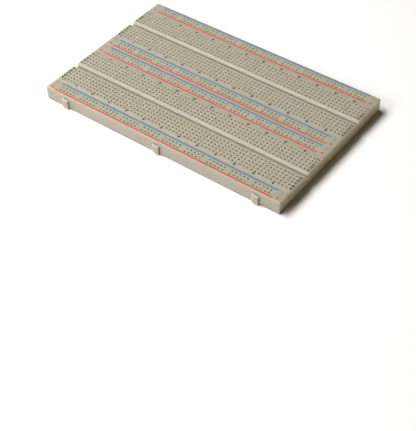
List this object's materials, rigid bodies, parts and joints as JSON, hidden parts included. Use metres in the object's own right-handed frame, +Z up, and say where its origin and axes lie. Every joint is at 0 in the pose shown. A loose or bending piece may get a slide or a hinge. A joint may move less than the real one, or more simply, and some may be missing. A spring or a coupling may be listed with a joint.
{
  "type": "solderless breadboard",
  "caption": "Solderless breadboard of two boards side by side: terminal strips with a centre groove between bus strips, in interlocking mouldings with an adhesive backing.",
  "frame": {"origin": "middle of the underside, on the line where the two boards meet, with the tabs left out of the count", "axes": "+X along the strips with row A nearest the front edge and columns counted from -X; +Y from the front edge, which has the tabs, to the rear edge; +Z up out of the tie-point face"},
  "size_m": [0.165, 0.1079, 0.0086],
  "materials": {
    "housing_plastic": "satin",
    "spring_metal": "satin",
    "foam_tape": "matte",
    "liner_paper": "satin",
    "red_ink": "satin",
    "blue_ink": "satin",
    "black_ink": "satin"
  },
  "bodies": {
    "front_bus_strip": {"front_bus_housing": "housing_plastic", "front_bus_plus_clip": "spring_metal", "front_bus_minus_clip": "spring_metal", "front_bus_foam": "foam_tape", "front_bus_liner": "liner_paper"},
    "front_terminal_strip": {"front_terminal_housing": "housing_plastic", "front_clips_a_to_e": "spring_metal", "front_clips_f_to_j": "spring_metal", "front_terminal_foam": "foam_tape", "front_terminal_liner": "liner_paper"},
    "mid_front_bus_strip": {"mid_front_bus_housing": "housing_plastic", "mid_front_bus_plus_clip": "spring_metal", "mid_front_bus_minus_clip": "spring_metal", "mid_front_bus_foam": "foam_tape", "mid_front_bus_liner": "liner_paper"},
    "mid_rear_bus_strip": {"mid_rear_bus_housing": "housing_plastic", "mid_rear_bus_plus_clip": "spring_metal", "mid_rear_bus_minus_clip": "spring_metal", "mid_rear_bus_foam": "foam_tape", "mid_rear_bus_liner": "liner_paper"},
    "rear_terminal_strip": {"rear_terminal_housing": "housing_plastic", "rear_clips_a_to_e": "spring_metal", "rear_clips_f_to_j": "spring_metal", "rear_terminal_foam": "foam_tape", "rear_terminal_liner": "liner_paper"},
    "rear_bus_strip": {"rear_bus_housing": "housing_plastic", "rear_bus_plus_clip": "spring_metal", "rear_bus_minus_clip": "spring_metal", "rear_bus_foam": "foam_tape", "rear_bus_liner": "liner_paper"}
  },
  "joints": [
    {"name": "front_bus_lift", "type": "slide", "parent": "front_terminal_strip", "child": "front_bus_strip", "axis": [0, 0, 1], "range_m": [0, 0.0052]},
    {"name": "front_terminal_lift", "type": "slide", "parent": "mid_front_bus_strip", "child": "front_terminal_strip", "axis": [0, 0, 1], "range_m": [0, 0.0052]},
    {"name": "mid_front_bus_lift", "type": "slide", "parent": "mid_rear_bus_strip", "child": "mid_front_bus_strip", "axis": [0, 0, 1], "range_m": [0, 0.0052]},
    {"name": "mid_rear_bus_lift", "type": "slide", "parent": "rear_terminal_strip", "child": "mid_rear_bus_strip", "axis": [0, 0, 1], "range_m": [0, 0.0052]},
    {"name": "rear_terminal_lift", "type": "slide", "parent": "rear_bus_strip", "child": "rear_terminal_strip", "axis": [0, 0, 1], "range_m": [0, 0.0052]}
  ]
}
